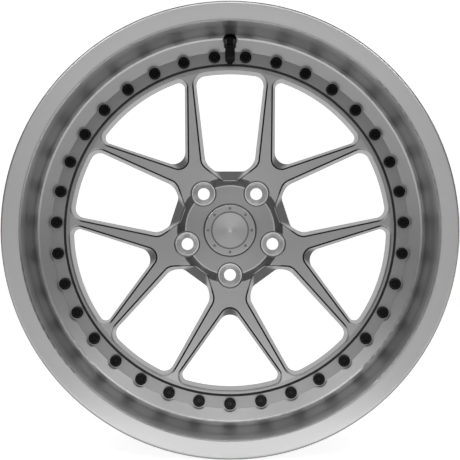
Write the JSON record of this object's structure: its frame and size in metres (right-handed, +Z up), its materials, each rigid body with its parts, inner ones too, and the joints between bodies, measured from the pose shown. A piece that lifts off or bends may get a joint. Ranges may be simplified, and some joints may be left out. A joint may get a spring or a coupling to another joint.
{
  "type": "forged car wheel",
  "caption": "Multi-piece forged car wheel: deep brushed lip, inner barrel, forked-spoke disc in a ring of bolts, angled valve and plain centre cap.",
  "frame": {"origin": "middle of the rim's overall width, on the spin axis", "axes": "+Y along the spin axis, inboard; -Y is the outer face; +Z up through the valve; +X to the right seen from outside"},
  "size_m": [0.543, 0.2797, 0.543],
  "materials": {
    "disc_metal": "satin, brushed",
    "lip_metal": "turned, brushed and clear coated",
    "barrel_metal": "satin",
    "sealant": "matte",
    "black_hardware": "black, half gloss",
    "steel": "plated",
    "cap_metal": "satin",
    "inlay_metal": "spun",
    "rubber": "matte",
    "valve_metal": "black, half gloss",
    "brass": "bare"
  },
  "bodies": {
    "root": {"center_disc": "disc_metal", "outer_lip": "lip_metal", "inner_barrel": "barrel_metal", "rim_seal": "sealant", "assembly_bolts": "black_hardware", "assembly_washers": "steel", "assembly_nuts": "steel", "center_cap": "cap_metal", "cap_inlay": "inlay_metal", "cap_screws": "black_hardware", "cap_ring": "rubber", "valve_stem": "valve_metal", "valve_core": "brass", "valve_grommet": "rubber", "valve_washer": "valve_metal", "valve_nut": "valve_metal", "valve_cap": "valve_metal"}
  },
  "joints": []
}
